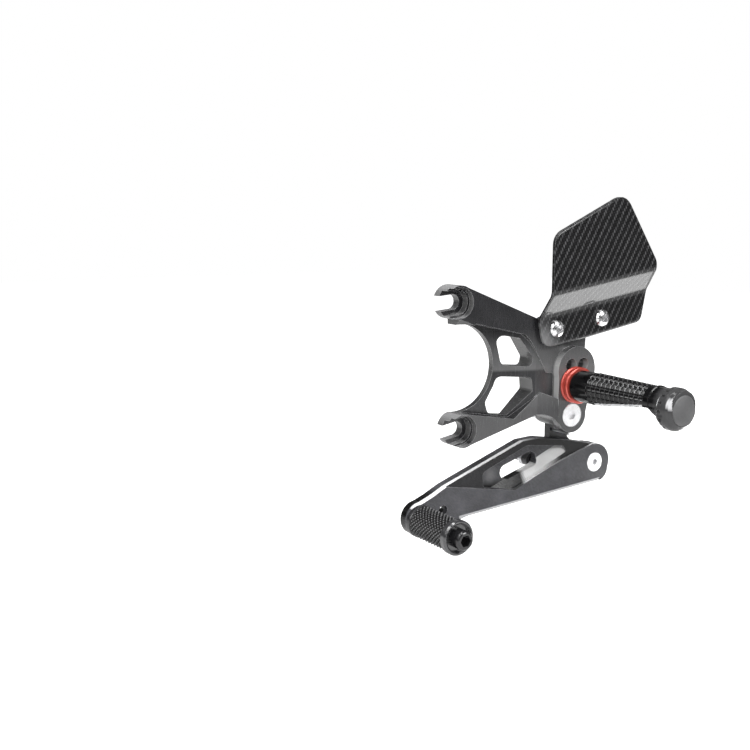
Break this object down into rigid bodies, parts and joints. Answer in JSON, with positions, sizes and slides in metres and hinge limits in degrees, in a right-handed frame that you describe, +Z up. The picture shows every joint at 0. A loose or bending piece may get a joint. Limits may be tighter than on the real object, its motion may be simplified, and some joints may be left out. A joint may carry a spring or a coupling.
{
  "type": "rear sets footrest",
  "caption": "Gear-side motorbike rear-set footrest: a pocketed hanger plate with open bolt forks carries a toothed footpeg, a heel guard and a swinging change lever with a toe peg.",
  "frame": {"origin": "on the upper fork's bolt axis, at the hanger plate's inner mounting face", "axes": "+X rearward, +Y inboard towards the bike, +Z up; the footpeg points along -Y"},
  "size_m": [0.1749, 0.1315, 0.1972],
  "materials": {
    "anodised_black": "satin black anodised, fine milling marks",
    "gloss_black": "glossy black anodised",
    "anodised_red": "bright red anodised",
    "grey_disc": "matte grey",
    "carbon_sheet": "twill-weave carbon under clear coat",
    "stainless": "bright",
    "steel": "zinc plated",
    "black_steel": "black oxide",
    "bronze": "sintered"
  },
  "bodies": {
    "hanger": {"hanger_plate": "anodised_black", "peg_collar": "anodised_red", "footpeg": "gloss_black", "footpeg_end_cap": "grey_disc", "footpeg_bolt": "steel", "footpeg_washer": "steel", "heel_guard": "carbon_sheet", "guard_spacer_front": "anodised_black", "guard_spacer_rear": "anodised_black", "guard_screw_front": "stainless", "guard_screw_rear": "stainless", "pivot_bolt": "stainless", "pivot_sleeve": "steel", "pivot_washer": "steel", "pivot_nut": "steel"},
    "lever_unit": {"shift_lever": "anodised_black", "lever_arm": "anodised_black", "hub_bush_outer": "bronze", "hub_bush_inner": "bronze", "lever_bolt": "stainless", "arm_screw": "steel", "linkage_stud": "black_steel", "linkage_nut": "steel", "stop_pin": "steel", "toe_collar": "anodised_black", "toe_peg": "gloss_black", "toe_cap": "anodised_black", "toe_screw": "black_steel"}
  },
  "joints": [
    {"name": "lever_pivot", "type": "hinge", "parent": "hanger", "child": "lever_unit", "pos_m": [0.0816, 0, -0.0725], "axis": [0, 1, 0], "range_deg": [-12, 12]}
  ]
}
